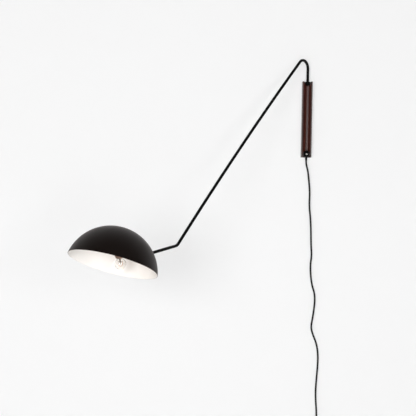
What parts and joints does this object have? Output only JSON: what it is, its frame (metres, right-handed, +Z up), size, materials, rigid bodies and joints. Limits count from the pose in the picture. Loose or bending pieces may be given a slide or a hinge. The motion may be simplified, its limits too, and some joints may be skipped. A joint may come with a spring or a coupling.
{
  "type": "swing-arm wall lamp",
  "caption": "Swing-arm wall lamp: upright walnut wall bar, bent black tube arm that turns in the bar, black dome shade with a globe bulb, and a black cord with switch and plug.",
  "frame": {"origin": "middle of the wall bar's back face, on the wall", "axes": "+Y into the wall, +Z up, +X to the right as seen from the room"},
  "size_m": [0.8482, 0.8836, 1.455],
  "materials": {
    "walnut": "gloss",
    "black_steel": "satin",
    "shade_black": "matte",
    "black_nylon": "satin",
    "zinc_steel": "satin",
    "nickel": "polished",
    "brass": "satin",
    "cord_black": "matte",
    "tie_black": "matte",
    "switch_black": "satin",
    "holder_brown": "satin",
    "clear_glass": "gloss",
    "amber_filament": "gloss"
  },
  "bodies": {
    "wall_bar": {"walnut_bar": "walnut", "hanger_plates": "zinc_steel", "hanger_screws": "zinc_steel", "top_bush": "black_nylon", "bottom_bush": "black_nylon", "thrust_washer": "black_nylon", "lower_washer": "black_nylon", "cord_hanging": "cord_black", "cord_coil": "cord_black", "coil_tie": "tie_black", "switch_front": "switch_black", "switch_back": "switch_black", "switch_screws": "zinc_steel", "switch_terminals": "brass", "plug_body": "switch_black", "plug_relief": "cord_black", "plug_blades": "brass"},
    "arm": {"arm_tube": "black_steel", "top_collar": "black_steel", "collar_screw": "black_steel", "cord_grip": "black_steel", "grip_screw": "nickel", "cord_relief": "cord_black", "lead_in_tube": "cord_black", "stop_ring": "black_steel", "lock_washer": "zinc_steel", "lock_nut": "zinc_steel", "neck_coupling": "black_steel", "holder_neck": "black_steel", "lamp_holder": "holder_brown", "holder_ring": "holder_brown", "holder_contact": "brass", "bulb_cap": "nickel", "bulb_glass": "clear_glass", "bulb_filament": "amber_filament"},
    "shade": {"shade_shell": "shade_black", "outer_saddle": "black_nylon", "inner_saddle": "black_nylon"},
    "rocker": {"switch_rocker": "switch_black"}
  },
  "joints": [
    {"name": "arm_swing", "type": "hinge", "parent": "wall_bar", "child": "arm", "pos_m": [0, -0.021, 0], "axis": [0, 0, 1], "range_deg": [-40.5, 123.5]},
    {"name": "shade_turn", "type": "hinge", "parent": "arm", "child": "shade", "pos_m": [-0.55529, -0.64865, -0.48076], "axis": [-0.6502, -0.7349, -0.1925], "range_deg": [-40, 40]},
    {"name": "rocker_tip", "type": "hinge", "parent": "wall_bar", "child": "rocker", "pos_m": [0.056, -0.0139, -1.113], "axis": [1, 0, 0], "range_deg": [-14, 0]}
  ]
}
